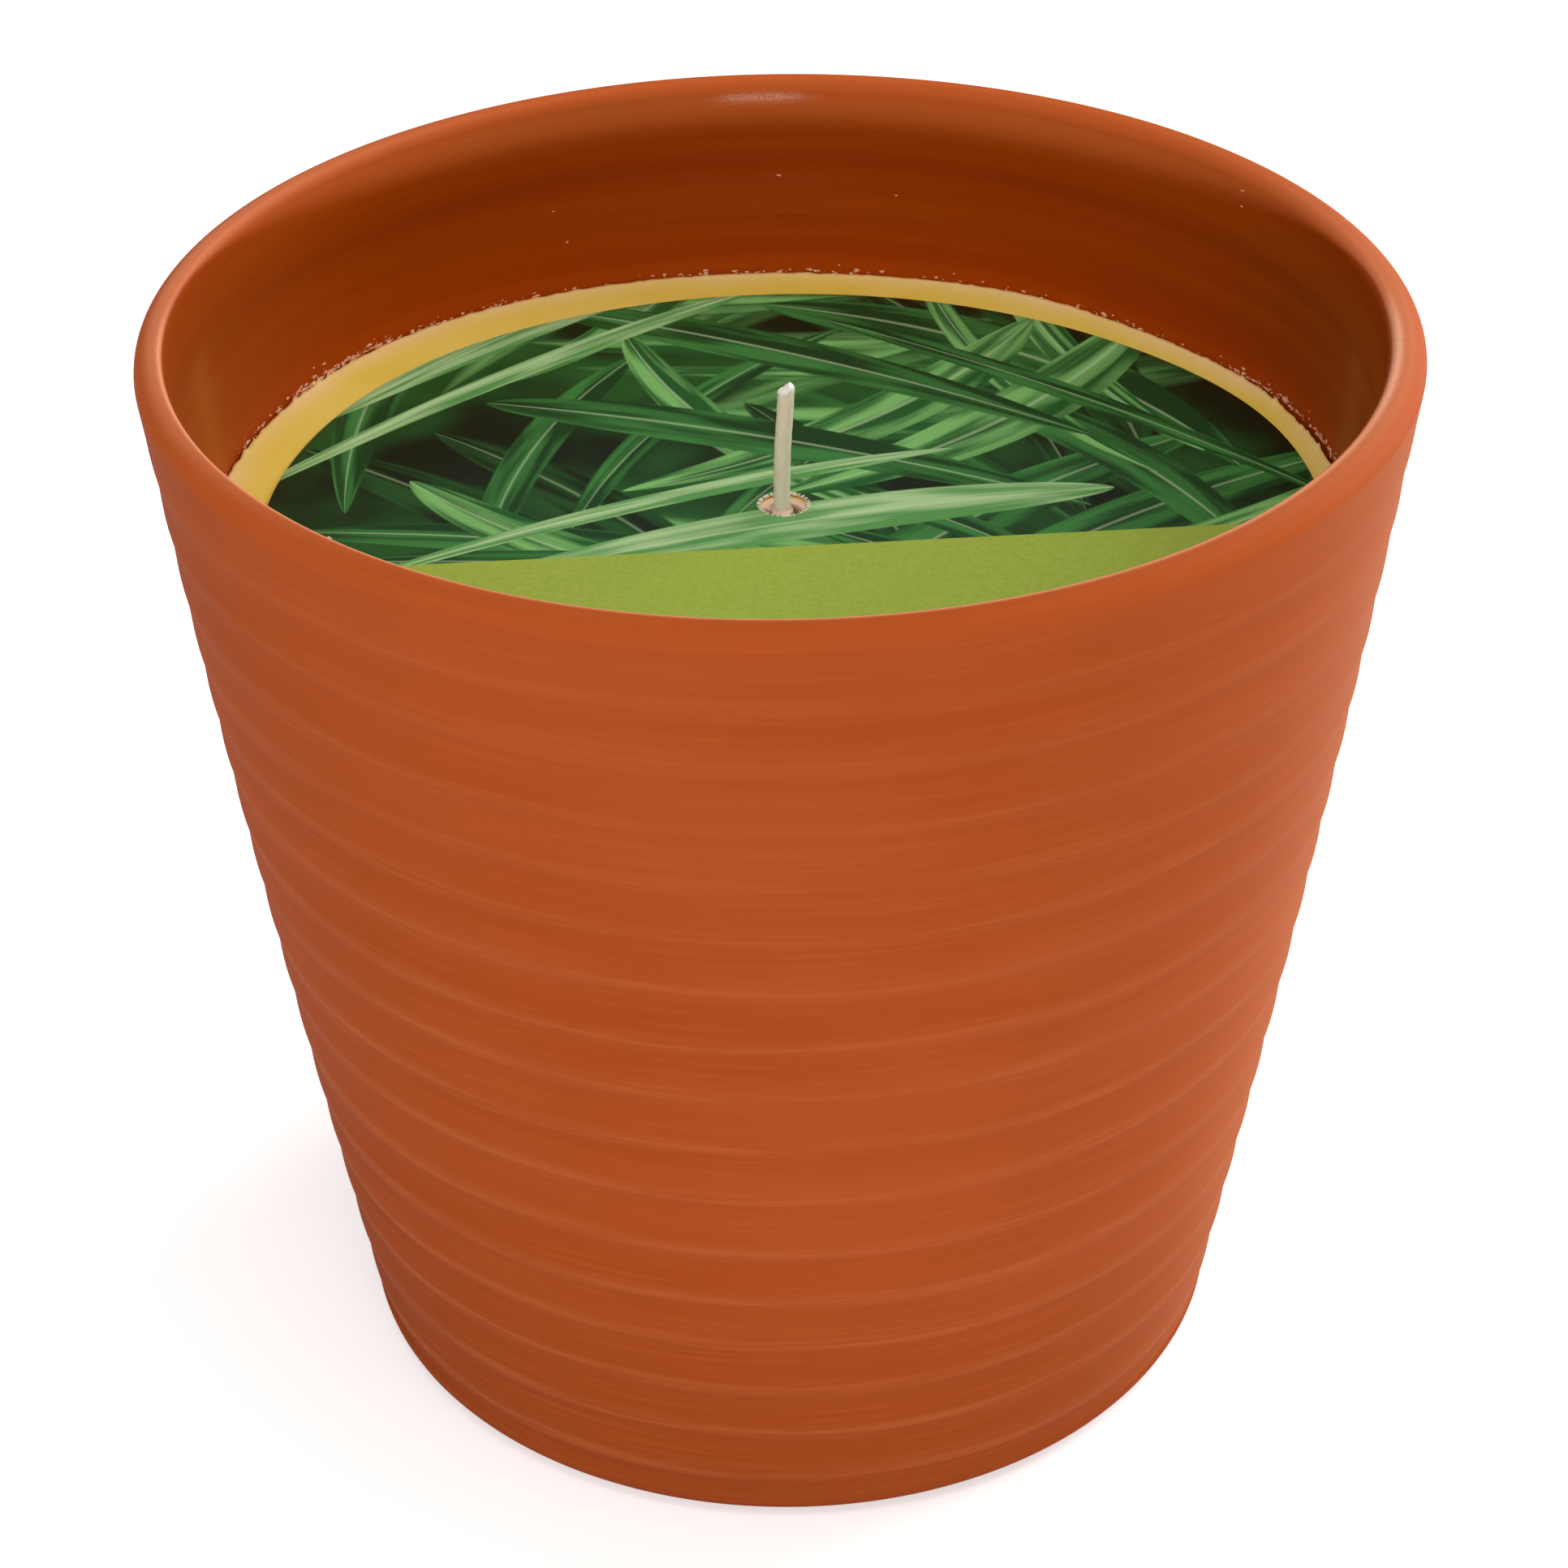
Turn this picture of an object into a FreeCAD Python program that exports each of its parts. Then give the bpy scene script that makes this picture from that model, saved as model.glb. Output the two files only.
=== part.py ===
import FreeCAD, Part
import math
import os
import Sketcher

# A citronella candle poured into a ribbed terracotta pot, in millimetres.
# The origin is the middle of the underside, +Z is up and the candle's front faces -Y.

# Driving sizes: alias, value, meaning
sizes = [
    ("potHeight", 146.0, "top of the lip above the foot"),
    ("rimRadius", 80.0, "widest point of the lip"),
    ("footRadius", 58.8, "outside of the wall at the top of the base rounding"),
    ("wallBulge", 1.0, "how far the outside swells out from a straight taper"),
    ("wallThickness", 3.6, "wall at its top and at the floor, measured level"),
    ("lipThickness", 5.2, "width of the round lip, which is thicker than the wall"),
    ("lipDrop", 4.0, "height below the lip's middle over which the inside opens out"),
    ("floorThickness", 7.5, "inside floor above the foot"),
    ("floorBevel", 3.0, "slope between the inside floor and the wall"),
    ("baseRound", 4.0, "rounding between the foot and the wall"),
    ("footRingWidth", 9.0, "flat ring that the pot stands on"),
    ("footRecess", 1.6, "depth of the hollow inside that ring"),
    ("collarHeight", 10.2, "smooth collar from the top of the lip to the first ridge"),
    ("ridgePitch", 8.5, "height from one ridge to the next"),
    ("ridgeStep", 3.6, "height of the face that leans in under each ridge"),
    ("ridgeInset", 0.85, "how far that face leans in"),
    ("waxLevel", 118.0, "top of the wax above the foot"),
    ("waxShrinkage", 0.3, "gap left between the set wax and the wall"),
    ("castGap", 0.1, "gap between the wax and what is set in it"),
    ("wickRadius", 1.2, "cord of the wick"),
    ("wickRise", 18.4, "wick above the wax"),
    ("wickTipBevel", 0.6, "worn edge of the wick's cut end"),
    ("tabRadius", 10.0, "round tab that holds the wick upright"),
    ("sheetThickness", 0.5, "sheet of the tab and of its neck"),
    ("neckHeight", 6.0, "top of the neck above the inside floor"),
    ("neckGap", 0.05, "gap between the wick and the neck that grips it"),
    ("labelThickness", 0.35, "card of the label"),
    ("labelEdgeGap", 1.0, "least gap between the label's edge and the wax's edge"),
    ("labelShiftRight", 1.4, "label's middle to the right of the pot's axis"),
    ("labelShiftFront", 3.2, "label's middle in front of the pot's axis"),
    ("holeShiftBack", 1.6, "punched hole's middle behind the wick's"),
    ("holeEdgeGap", 0.3, "least gap between the wick and the punched hole"),
]

# Straight runs that stand for the two roundings
lipRuns = 4
baseRuns = 2

doc = FreeCAD.newDocument("TerracottaCandle")
sheet = doc.addObject("Spreadsheet::Sheet", "Sizes")
for row, (alias, value, meaning) in enumerate(sizes, start=1):
    sheet.set(f"A{row}", meaning)
    sheet.set(f"B{row}", str(value))
    sheet.setAlias(f"B{row}", alias)
doc.recompute()

# Sketcher's numbers for the two axes and the origin, and for the points of a line or circle
upAxis, acrossAxis = range(-2, 0)
origin = acrossAxis
start, end, centre = range(1, 4)


def makeBody(label):
    body = doc.addObject("PartDesign::Body", label)
    body.Label = label
    return body


def makeSketch(body, name, planeRole):
    sketch = body.newObject("Sketcher::SketchObject", name)
    plane = next(item for item in body.Origin.OriginFeatures if item.Role == planeRole)
    sketch.AttachmentSupport = [(plane, "")]
    sketch.MapMode = "FlatFace"
    return sketch


def place(sketch, item, which, right, up, name):
    # Fix a point by the texts of its distance right of the origin and above it
    for kind, text, axis in (("DistanceX", right, upAxis), ("DistanceY", up, acrossAxis)):
        if text == "0":
            sketch.addConstraint(Sketcher.Constraint("PointOnObject", item, which, axis))
        else:
            drawn = sketch.getPoint(item, which)
            value = drawn.x if kind == "DistanceX" else drawn.y
            index = sketch.addConstraint(Sketcher.Constraint(kind, origin, start, item, which, value))
            sketch.renameConstraint(index, name + kind[-1])
            sketch.setExpression(f"Constraints.{name}{kind[-1]}", text)


def turnOutline(body, name, corners):
    # Draw the half section through named corners and turn it about the vertical axis.
    # The corners are first drawn round a circle beside it, and their texts move them into place.
    sketch = makeSketch(body, name + "Section", "XZ_Plane")
    reach = sheet.get("potHeight")
    turns = [2 * math.pi * number / len(corners) for number in range(len(corners))]
    points = [FreeCAD.Vector(2 + math.cos(turn), 2 + math.sin(turn), 0) * reach for turn in turns]
    lines = []
    for here, there in zip(points, points[1:] + points[:1]):
        lines.append(sketch.addGeometry(Part.LineSegment(here, there), False))
    for line, following in zip(lines, lines[1:] + lines[:1]):
        sketch.addConstraint(Sketcher.Constraint("Coincident", line, end, following, start))
    for line, (corner, right, up) in zip(lines, corners):
        place(sketch, line, start, right, up, corner)
    turned = body.newObject("PartDesign::Revolution", name + "Turned")
    turned.Profile = sketch
    turned.ReferenceAxis = (sketch, ["V_Axis"])
    turned.Angle = 360.0


def taperShare(height):
    # Text for how far up the wall a height lies, from 0 at the foot to 1 at the lip
    top = "(Sizes.potHeight - Sizes.lipThickness / 2 - Sizes.baseRound)"
    return f"((({height}) - Sizes.baseRound) / {top})"


def taper(height, inward):
    # Text for the distance from the axis of a point inward of the straight taper
    reach = f"(Sizes.rimRadius - Sizes.footRadius) * {taperShare(height)}"
    return f"Sizes.footRadius + {reach} - ({inward})"


def swelling(height, inward):
    # The same for the outside of the pot, which swells out in its middle
    share = taperShare(height)
    return f"{taper(height, inward)} + 4 * Sizes.wallBulge * {share} * (1 - {share})"


def insideFoot(inward):
    # The two corners of the slope between the inside floor and the wall
    wallFoot = "Sizes.floorThickness + Sizes.floorBevel"
    return [
        ("floorEdge", f"{taper(wallFoot, inward)} - Sizes.floorBevel", "Sizes.floorThickness"),
        ("wallFoot", taper(wallFoot, inward), wallFoot),
    ]


def makePot():
    body = makeBody("pot")
    ringOuter = "Sizes.footRadius - Sizes.baseRound"
    ringInner = f"{ringOuter} - Sizes.footRingWidth"

    # Underside: a shallow hollow with a 45 degree side, and the ring that the pot stands on
    corners = [
        ("hollowMiddle", "0", "Sizes.footRecess"),
        ("hollowEdge", f"{ringInner} - Sizes.footRecess", "Sizes.footRecess"),
        ("ringInner", ringInner, "0"),
        ("ringOuter", ringOuter, "0"),
    ]
    for run in range(1, baseRuns + 1):
        turn = 90 * run / baseRuns
        corners.append((
            f"base{run}",
            f"{ringOuter} + Sizes.baseRound * sin({turn} deg)",
            f"Sizes.baseRound * (1 - cos({turn} deg))",
        ))

    # Ridges, counted down from the collar and drawn upwards.
    # Under each one a face leans in, and a longer one runs out to the ridge below.
    # The lowest ridge springs from the base rounding.
    room = sheet.get("potHeight") - sheet.get("collarHeight") - sheet.get("baseRound")
    ridgeCount = int((room - sheet.get("ridgeStep")) / sheet.get("ridgePitch")) + 1
    for ridge in reversed(range(ridgeCount)):
        height = f"Sizes.potHeight - Sizes.collarHeight - {ridge} * Sizes.ridgePitch"
        if ridge < ridgeCount - 1:
            corners.append((
                f"notch{ridge}",
                swelling(f"{height} - Sizes.ridgeStep", "Sizes.ridgeInset"),
                f"{height} - Sizes.ridgeStep",
            ))
        corners.append((f"ridge{ridge}", swelling(height, "0"), height))

    # Round lip, from its outside over the top to its inside
    for run in range(lipRuns + 1):
        turn = 180 * run / lipRuns
        corners.append((
            f"lip{run}",
            f"Sizes.rimRadius - Sizes.lipThickness / 2 * (1 - cos({turn} deg))",
            f"Sizes.potHeight - Sizes.lipThickness / 2 * (1 - sin({turn} deg))",
        ))
    wallTop = "Sizes.potHeight - Sizes.lipThickness / 2 - Sizes.lipDrop"
    corners.append(("wallTop", taper(wallTop, "Sizes.wallThickness"), wallTop))

    corners.extend(reversed(insideFoot("Sizes.wallThickness")))
    corners.append(("floorMiddle", "0", "Sizes.floorThickness"))
    turnOutline(body, "Pot", corners)
    return body


def makeWax():
    # The wax fills the pot to its level, round the wick, the neck and the tab
    body = makeBody("wax")
    shrunk = "Sizes.wallThickness + Sizes.waxShrinkage"
    tab = "Sizes.tabRadius + Sizes.castGap"
    tabTop = "Sizes.floorThickness + Sizes.sheetThickness + Sizes.castGap"
    neck = "Sizes.wickRadius + Sizes.neckGap + Sizes.sheetThickness + Sizes.castGap"
    neckTop = "Sizes.floorThickness + Sizes.neckHeight + Sizes.castGap"
    bore = "Sizes.wickRadius + Sizes.castGap"
    corners = insideFoot(shrunk)
    corners.extend([
        ("surfaceEdge", taper("Sizes.waxLevel", shrunk), "Sizes.waxLevel"),
        ("surfaceBore", bore, "Sizes.waxLevel"),
        ("boreFoot", bore, neckTop),
        ("neckShoulder", neck, neckTop),
        ("neckFoot", neck, tabTop),
        ("tabShoulder", tab, tabTop),
        ("tabFoot", tab, "Sizes.floorThickness"),
    ])
    turnOutline(body, "Wax", corners)
    return body


def makeWick():
    body = makeBody("wick")
    body.setExpression("Placement.Base.z", "Sizes.floorThickness")
    length = "Sizes.waxLevel + Sizes.wickRise - Sizes.floorThickness"
    turnOutline(body, "Wick", [
        ("footMiddle", "0", "0"),
        ("footEdge", "Sizes.wickRadius", "0"),
        ("tipEdge", "Sizes.wickRadius", f"{length} - Sizes.wickTipBevel"),
        ("cutEdge", "Sizes.wickRadius - Sizes.wickTipBevel", length),
        ("cutMiddle", "0", length),
    ])
    return body


def makeSustainer():
    # Round sheet tab with a neck that grips the wick's foot
    body = makeBody("wick_sustainer")
    body.setExpression("Placement.Base.z", "Sizes.floorThickness")
    bore = "Sizes.wickRadius + Sizes.neckGap"
    neck = f"{bore} + Sizes.sheetThickness"
    turnOutline(body, "Sustainer", [
        ("boreFoot", bore, "0"),
        ("tabEdge", "Sizes.tabRadius", "0"),
        ("tabTop", "Sizes.tabRadius", "Sizes.sheetThickness"),
        ("neckFoot", neck, "Sizes.sheetThickness"),
        ("neckTop", neck, "Sizes.neckHeight"),
        ("boreTop", bore, "Sizes.neckHeight"),
    ])
    return body


def makeLabel():
    # Round card on the wax, cut to clear the wax's edge where the label is pushed towards it.
    # Its punched hole lets the wick through, a little off the wick's middle.
    body = makeBody("label")
    body.setExpression("Placement.Base.x", "Sizes.labelShiftRight")
    body.setExpression("Placement.Base.y", "-Sizes.labelShiftFront")
    body.setExpression("Placement.Base.z", "Sizes.waxLevel")
    sketch = makeSketch(body, "LabelOutline", "XY_Plane")
    waxEdge = taper("Sizes.waxLevel", "Sizes.wallThickness + Sizes.waxShrinkage")
    shift = "sqrt(Sizes.labelShiftRight^2 + Sizes.labelShiftFront^2)"
    edgeRadius = f"{waxEdge} - Sizes.labelEdgeGap - {shift}"
    holeRadius = "Sizes.wickRadius + Sizes.holeEdgeGap + Sizes.holeShiftBack"
    middle, upwards = FreeCAD.Vector(0, 0, 0), FreeCAD.Vector(0, 0, 1)
    beside = FreeCAD.Vector(-sheet.get("labelShiftRight"), sheet.get("labelShiftFront"), 0)
    edge = sketch.addGeometry(Part.Circle(middle, upwards, sheet.get("footRadius")), False)
    hole = sketch.addGeometry(Part.Circle(beside, upwards, sheet.get("wickRadius")), False)
    for circle, name, text in ((edge, "edgeRadius", edgeRadius), (hole, "holeRadius", holeRadius)):
        drawn = sketch.Geometry[circle].Radius
        index = sketch.addConstraint(Sketcher.Constraint("Radius", circle, drawn))
        sketch.renameConstraint(index, name)
        sketch.setExpression(f"Constraints.{name}", text)
    sketch.addConstraint(Sketcher.Constraint("Coincident", edge, centre, origin, start))
    holeBack = "Sizes.labelShiftFront + Sizes.holeShiftBack"
    place(sketch, hole, centre, "-Sizes.labelShiftRight", holeBack, "hole")
    pad = body.newObject("PartDesign::Pad", "LabelCard")
    pad.Profile = sketch
    pad.setExpression("Length", "Sizes.labelThickness")
    return body


parts = [makePot(), makeWax(), makeWick(), makeSustainer(), makeLabel()]
doc.recompute()

for item in doc.Objects:
    if "Invalid" in item.State or "Error" in item.State:
        raise RuntimeError(f"{item.Label} failed: {item.State}")
for part in parts:
    if part.Shape.isNull() or not part.Shape.isValid() or len(part.Shape.Solids) != 1:
        raise RuntimeError(f"{part.Label} is not one valid solid")

os.makedirs("parts", exist_ok=True)
for part in parts:
    part.Shape.exportStep(f"parts/{part.Label}.step")
    print(part.Label, round(part.Shape.Volume / 1000, 2), "cm3")
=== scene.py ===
import math

import bpy
import numpy as np
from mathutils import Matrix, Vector


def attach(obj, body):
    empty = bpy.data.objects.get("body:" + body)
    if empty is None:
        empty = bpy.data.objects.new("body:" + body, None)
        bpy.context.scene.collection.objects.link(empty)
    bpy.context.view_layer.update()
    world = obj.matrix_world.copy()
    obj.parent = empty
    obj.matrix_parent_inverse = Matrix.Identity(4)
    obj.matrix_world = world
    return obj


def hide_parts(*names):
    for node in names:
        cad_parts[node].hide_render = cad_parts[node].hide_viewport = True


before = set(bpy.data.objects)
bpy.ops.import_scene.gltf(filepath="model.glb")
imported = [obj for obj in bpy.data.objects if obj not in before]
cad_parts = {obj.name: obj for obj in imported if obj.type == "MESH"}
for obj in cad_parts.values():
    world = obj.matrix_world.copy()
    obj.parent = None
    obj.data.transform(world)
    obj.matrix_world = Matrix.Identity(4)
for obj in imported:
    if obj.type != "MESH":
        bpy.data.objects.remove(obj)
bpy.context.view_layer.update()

# Citronella candle in a ribbed terracotta pot. Shapes are worked out in millimetres and radians,
# with 0 at the right and a quarter turn at the back, and their meshes are in metres.

wholeTurn = 2 * math.pi


def paint(red, green, blue):
    # A colour as a picture shows it, 0 to 255, turned into the linear values that sockets hold
    shown = np.array([red, green, blue]) / 255
    linear = np.where(shown <= 0.04045, shown / 12.92, ((shown + 0.055) / 1.055) ** 2.4)
    return (*linear.tolist(), 1.0)


def ease(start, end, value):
    # 0 at the start, 1 at the end and beyond, and a smooth S between them. The end may be lower.
    share = np.clip((value - start) / (end - start), 0, 1)
    return share * share * (3 - 2 * share)


def hump(value, middle, width, power=2):
    # A bell of height 1: e to the minus the distance from the middle over the width, to a power.
    # A power of 4 gives it a flat top and steep sides.
    return np.exp(-((value - middle) / width) ** power)


def swollen(turn, swells):
    # How far something stands out round a circle: the sum of bells of an angle, a width and a size
    return sum(size * hump(turn, angle, width) for angle, width, size in swells)


def ragged(turn, seed, fewest, most):
    # Uneven round a circle: the sum of many waves, each a whole number of times round, at seeded
    # phases, over about the square root of their number
    seeded, waves = np.random.default_rng(seed), 28
    rounds, phases = seeded.integers(fewest, most, waves), seeded.uniform(0, wholeTurn, waves)
    return np.sin(rounds * np.asarray(turn)[..., None] + phases).sum(-1) / 5.3


def circle(columns, start=0.0):
    # One row of angles, once round from the start
    return np.linspace(start, start + wholeTurn, columns, endpoint=False)[None, :]


def roundAbout(radius, height, turn):
    # Points at a distance from the axis, a height and an angle about it
    return np.stack([radius * np.cos(turn), radius * np.sin(turn), height + 0 * radius * turn], -1)


def skin(name, points, ends, marks=None):
    # Skins a grid of points. Rows follow the section and columns go round the piece. With ends
    # "poles" the first and last rows close to a point, and with "loop" the section closes on
    # itself. Marks are named values for each point, which the piece's material reads.
    rows, columns = points.shape[:2]
    index = np.arange(rows * columns).reshape(rows, columns)
    here, there = (index, np.roll(index, -1, 0)) if ends == "loop" else (index[:-1], index[1:])
    quads = np.stack([here, np.roll(here, -1, 1), np.roll(there, -1, 1), there], -1).reshape(-1, 4)
    corners = points.reshape(-1, 3)
    faces = quads.tolist()
    if ends == "poles":
        first, last = rows * columns, rows * columns + 1
        after = np.roll(np.arange(columns), -1)
        corners = np.vstack([corners, points[0].mean(0), points[-1].mean(0)])
        faces += [[first, index[0, b], index[0, a]] for a, b in enumerate(after)]
        faces += [[index[-1, a], index[-1, b], last] for a, b in enumerate(after)]
    # Six times the volume that the quads enclose about the middle tells which way they face
    middle = corners.mean(0)
    a, b, c, d = (corners[quads[:, n]] - middle for n in range(4))
    if (a * (np.cross(b, c) + np.cross(c, d))).sum() < 0:
        faces = [face[::-1] for face in faces]
    mesh = bpy.data.meshes.new(name)
    mesh.from_pydata((corners / 1000).tolist(), [], faces)
    for markName, values in (marks or {}).items():
        values = np.broadcast_to(values, (rows, columns)).ravel()
        if ends == "poles":
            values = np.append(values, [values[0], values[-1]])
        attribute = mesh.attributes.new(markName, "FLOAT", "POINT")
        attribute.data.foreach_set("value", values.astype(np.float32))
    mesh.shade_smooth()
    return mesh


def joinMeshes(name, meshes):
    # One mesh of them all, with their corners numbered on
    corners, faces, count = [], [], 0
    for mesh in meshes:
        corners += [vertex.co.to_tuple() for vertex in mesh.vertices]
        faces += [[corner + count for corner in face.vertices] for face in mesh.polygons]
        count = len(corners)
        bpy.data.meshes.remove(mesh)
    joined = bpy.data.meshes.new(name)
    joined.from_pydata(corners, [], faces)
    joined.shade_smooth()
    return joined


def finishPiece(name, mesh, material, slotName, *nodes):
    # Puts a mesh in the scene as a piece, in place of the nodes named
    piece = bpy.data.objects.new(name, mesh)
    bpy.context.scene.collection.objects.link(piece)
    mesh.materials.append(material)
    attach(piece, "root")
    if nodes:
        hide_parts(*nodes)


def fill(tree, node, inputs):
    # Inputs are named with _ for a space, or _3 for the fourth one, and hold a value or a socket
    for key, value in inputs.items():
        socket = node.inputs[int(key[1:]) if key[0] == "_" else key.replace("_", " ")]
        if isinstance(value, bpy.types.NodeSocket):
            tree.links.new(value, socket)
        else:
            socket.default_value = value


def addNode(tree, kind, settings=None, **inputs):
    # Adds a node with its settings and fills its inputs
    node = tree.nodes.new("ShaderNode" + kind)
    for key, value in (settings or {}).items():
        setattr(node, key, value)
    fill(tree, node, inputs)
    return node


def combine(tree, operation, first, second=0.0, clamp=False):
    # One sum on two numbers or sockets. The three below are its commonest kinds.
    settings = {"operation": operation, "use_clamp": clamp}
    return addNode(tree, "Math", settings, _0=first, _1=second).outputs[0]


def times(tree, first, second, clamp=False):
    return combine(tree, "MULTIPLY", first, second, clamp)


def plus(tree, first, second, clamp=False):
    return combine(tree, "ADD", first, second, clamp)


def less(tree, first, second, clamp=False):
    return combine(tree, "SUBTRACT", first, second, clamp)


def blend(tree, share, under, over):
    # Lays one colour over another by a share
    settings = {"data_type": "RGBA", "clamp_factor": True}
    return addNode(tree, "Mix", settings, _0=share, _6=under, _7=over).outputs[2]


def spread(tree, value, toLow=0.0, toHigh=1.0, low=0.3, high=0.7):
    # Turns a value between low and high, where most of a noise lies, into another range along an S
    settings = {"interpolation_type": "SMOOTHSTEP"}
    ends = {"From_Min": low, "From_Max": high, "To_Min": toLow, "To_Max": toHigh}
    return addNode(tree, "MapRange", settings, Value=value, **ends).outputs[0]


def speckle(tree, place, scale, stretch=(1, 1, 1), detail=3.0):
    # Noise about 0.5, in cells of one over scale metres, stretched along the axes
    stretched = addNode(tree, "Mapping", Vector=place, Scale=stretch).outputs[0]
    grain = {"Scale": scale, "Detail": detail, "Roughness": 0.55}
    return addNode(tree, "TexNoise", None, Vector=stretched, **grain).outputs[0]


def mark(tree, name):
    # The values of that name that skin put on the piece's points
    return addNode(tree, "Attribute", {"attribute_name": name}).outputs["Fac"]


def wash(tree, under, name, shades, pattern=None):
    # Lays a shade over a colour where the mark of the same name is. A shade is a colour and its
    # strength, and a pattern may break it up.
    over, strength = shades[name]
    share = times(tree, mark(tree, name), strength)
    if pattern is not None:
        share = times(tree, share, pattern)
    return blend(tree, share, under, over)


def newMaterial(name):
    # A material, its tree and its shader, and the place on the piece in metres
    material = bpy.data.materials.new(name)
    material.use_nodes = True
    tree = material.node_tree
    place = addNode(tree, "TexCoord").outputs["Object"]
    return material, tree, tree.nodes["Principled BSDF"], place


def coat(tree, shader, relief, **inputs):
    # Fills the shader. A relief is a pattern, its depth in metres and its strength.
    pattern, depth, strength = relief
    raised = addNode(tree, "Bump", None, Height=pattern, Distance=depth, Strength=strength)
    fill(tree, shader, {**inputs, "Normal": raised.outputs[0]})


pot = {
    "height": 146.0,
    "rimRadius": 80.0,
    "footRadius": 58.8,
    "baseRound": 4.0,
    "wall": 3.6,
    "lip": 4.4,
    # width and height of the lip's two rounds
    "lipRound": (2.6, 2.6),
    "lipInnerRound": (1.1, 2.0),
    "lipDrop": 12.0,
    "outsideBulge": 1.0,
    "insideBulge": 0.6,
    "insideShift": (-0.5, -0.4),
    # angle, width and size of the places where a thumb has pressed the inside out, and the heights
    # at which that begins and is full
    "insideSwells": [(0.35, 0.3, 1.5), (1.08, 0.2, 0.9), (2.36, 0.42, 1.5)],
    "swellsFade": (140.0, 121.0),
    "floor": 7.5,
    "insideRound": 6.0,
    "ringInner": 45.8,
    "recess": 1.6,
    "crests": [
        135.8, 127.3, 118.5, 110.2, 102.3, 94.2, 85.3, 77.1,
        68.5, 60.0, 50.6, 41.8, 33.6, 25.3, 16.9, 8.3,
    ],
    "crestToNotch": 2.2,
    "collarFade": 7.0,  # height over the top crest at which the ridges have faded out
    "topDepth": 0.16,
    "footDepth": 0.4,
    "handWave": 0.05,
    "turningWave": 0.05,
    "columns": 220,
    "crestWearAndHighlight": 1.0,  # height of the pale band on a crest, from wear and a painted highlight
    "lipSideLight": 0.85,  # how strongly light is painted on the lip's sides
    # angle and width of the side with a painted rim light, of the chalky patch on the right
    # and of the painted glint at the back, and a strength for each sheen
    "rimLitSide": (-0.1, 0.55),
    "chalkRight": (-0.2, 0.19),
    "glintBehind": (1.6, 0.075),
    "sheens": [(3.0, 0.06, 1.0), (0.13, 0.05, 0.9)],
    # two colours for the clay outside and two inside, one each for its bands and streaks, and its
    # shades, each a colour and a strength
    "outer": (paint(181, 81, 31), paint(190, 87, 39)),
    # the inner colours are deeper partly from soaking and partly as painted shade of the hollow
    "inner": (paint(154, 56, 0), paint(166, 66, 2)),
    "bands": paint(172, 72, 10),
    "streaks": paint(196, 96, 42),
    "shades": {
        "foot": (paint(168, 77, 32), 0.9),
        # pale crests, from wear and a painted highlight
        "crest": (paint(212, 116, 68), 1.0),
        # painted rim light, a paler colour on the right side
        "rimLight": (paint(208, 126, 86), 0.5),
        # painted light on the lip's top, strongest at the back
        "crown": (paint(202, 94, 40), 1.0),
        # painted light on the lip's sides
        "lip": (paint(222, 132, 92), 1.0),
        "sheen": (paint(186, 108, 36), 0.3),
        # pale inner edge, from wear and a painted highlight
        "innerEdge": (paint(250, 169, 127), 0.75),
        # chalk on the lip's right, and a painted glint on its back
        "chalkAndGlint": (paint(244, 186, 160), 1.0),
    },
    # roughness and shine, outside and inside
    "roughness": (0.62, 0.42),
    "shine": (0.045, 0.07),
}
lipStart = pot["height"] - pot["lipRound"][1]  # height where the outer round begins
lipInside = pot["height"] - pot["lipInnerRound"][1]  # height where the inner round ends
lipEdge = pot["rimRadius"] - pot["lip"]  # radius inside the lip
crown = pot["rimRadius"] - pot["lipRound"][0]  # radii between which the lip's top is level
innerCrown = lipEdge + pot["lipInnerRound"][0]
underside, outerWall, roundLip, innerWall, insideFloor = range(5)  # parts of the pot's section


def wallRadius(height, bulge, inward):
    # A taper from the foot to the lip plus a parabola that is zero at both
    share = (height - pot["baseRound"]) / (lipStart - pot["baseRound"])
    taper = pot["footRadius"] + (pot["rimRadius"] - pot["footRadius"]) * share
    return taper + 4 * bulge * share * (1 - share) - inward


def insideRadius(height, turn):
    # The taper less the wall, closing in by an S under the lip and out of round below it, about an
    # axis a little off the pot's own
    across, back = pot["insideShift"]
    thicker = wallRadius(lipInside, pot["insideBulge"], pot["wall"]) - lipEdge
    closing = thicker * ease(lipInside - pot["lipDrop"], lipInside, height)
    out = swollen(turn, pot["insideSwells"]) * ease(*pot["swellsFade"], height)
    inside = wallRadius(height, pot["insideBulge"], pot["wall"]) - closing + out
    return inside + across * np.cos(turn) + back * np.sin(turn)


def ridgeDepth(height, turn):
    # How far the wall lies inside its crests. Between two notches it swells as the sine of half a
    # turn times the square of the way down from the upper notch, so the crest is low in each band.
    # Two seeded waves for each band make its depth uneven, and over the top crest it fades out.
    crests = np.array(pot["crests"])
    collar = crests[0] + pot["collarFade"]
    notches = np.append(crests - pot["crestToNotch"], 0.5)
    band = np.clip(np.searchsorted(-notches, -height) - 1, -1, len(crests) - 1)
    upper = np.where(band < 0, collar, notches[band])
    lower = np.where(band < 0, notches[0], notches[np.minimum(band + 1, len(crests))])
    down = np.clip((upper - height) / (upper - lower), 0, 1)
    depth = pot["footDepth"] + (pot["topDepth"] - pot["footDepth"]) * height / pot["height"]
    phases = np.random.default_rng(11).uniform(0, wholeTurn, (2, len(crests) + 2))[:, band + 1]
    uneven = 1 + 0.2 * np.sin(turn + phases[0]) + 0.12 * np.sin(3 * turn + phases[1])
    fade = np.where(band < 0, ease(collar, crests[0] - 1, height), 1)
    return depth * uneven * (1 - np.sin(math.pi * down ** 2)) * fade


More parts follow.
